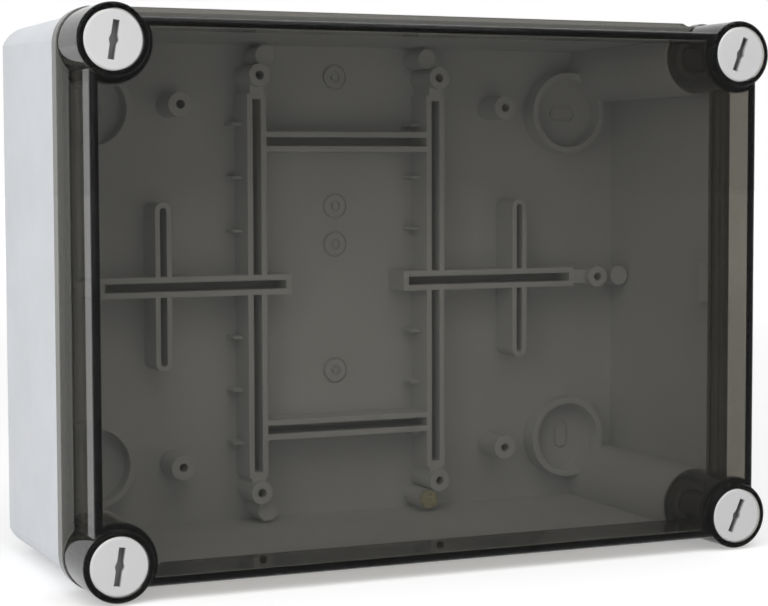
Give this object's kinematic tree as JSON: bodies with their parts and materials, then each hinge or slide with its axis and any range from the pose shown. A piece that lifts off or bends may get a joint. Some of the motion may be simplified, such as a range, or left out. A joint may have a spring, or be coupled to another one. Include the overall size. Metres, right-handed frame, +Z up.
{
  "type": "junction box",
  "caption": "Wall-mounted junction box: light grey tray base with slotted floor rails, smoked clear lid with corner turrets and quarter-turn lid screws.",
  "frame": {"origin": "centre of the back face, which lies on the wall", "axes": "+Z up, -Y out of the wall towards the front of the lid, +X to the right as seen from the front"},
  "size_m": [0.3186, 0.134, 0.2378],
  "materials": {
    "grey_plastic": "fine satin moulded",
    "smoked_plastic": "polished, clear smoked grey",
    "white_plastic": "satin moulded",
    "black_rubber": "matt",
    "brass": "bright turned"
  },
  "bodies": {
    "base_unit": {"base": "grey_plastic", "gasket": "black_rubber", "earth_screw": "brass"},
    "lid_unit": {"lid": "smoked_plastic", "seal_top_left": "black_rubber", "seal_top_right": "black_rubber", "seal_bottom_left": "black_rubber", "seal_bottom_right": "black_rubber"},
    "turn_top_left": {"screw_top_left": "white_plastic"},
    "turn_top_right": {"screw_top_right": "white_plastic"},
    "turn_bottom_left": {"screw_bottom_left": "white_plastic"},
    "turn_bottom_right": {"screw_bottom_right": "white_plastic"}
  },
  "joints": [
    {"name": "lid_lift", "type": "slide", "parent": "base_unit", "child": "lid_unit", "axis": [0, -1, 0], "range_m": [0, 0.12]},
    {"name": "screw_turn_top_left", "type": "hinge", "parent": "lid_unit", "child": "turn_top_left", "pos_m": [-0.144, -0.1292, 0.1036], "axis": [0, 1, 0], "range_deg": [0, 90]},
    {"name": "screw_turn_top_right", "type": "hinge", "parent": "lid_unit", "child": "turn_top_right", "pos_m": [0.144, -0.1292, 0.1036], "axis": [0, 1, 0], "range_deg": [0, 90]},
    {"name": "screw_turn_bottom_left", "type": "hinge", "parent": "lid_unit", "child": "turn_bottom_left", "pos_m": [-0.144, -0.1292, -0.1036], "axis": [0, 1, 0], "range_deg": [0, 90]},
    {"name": "screw_turn_bottom_right", "type": "hinge", "parent": "lid_unit", "child": "turn_bottom_right", "pos_m": [0.144, -0.1292, -0.1036], "axis": [0, 1, 0], "range_deg": [0, 90]}
  ]
}
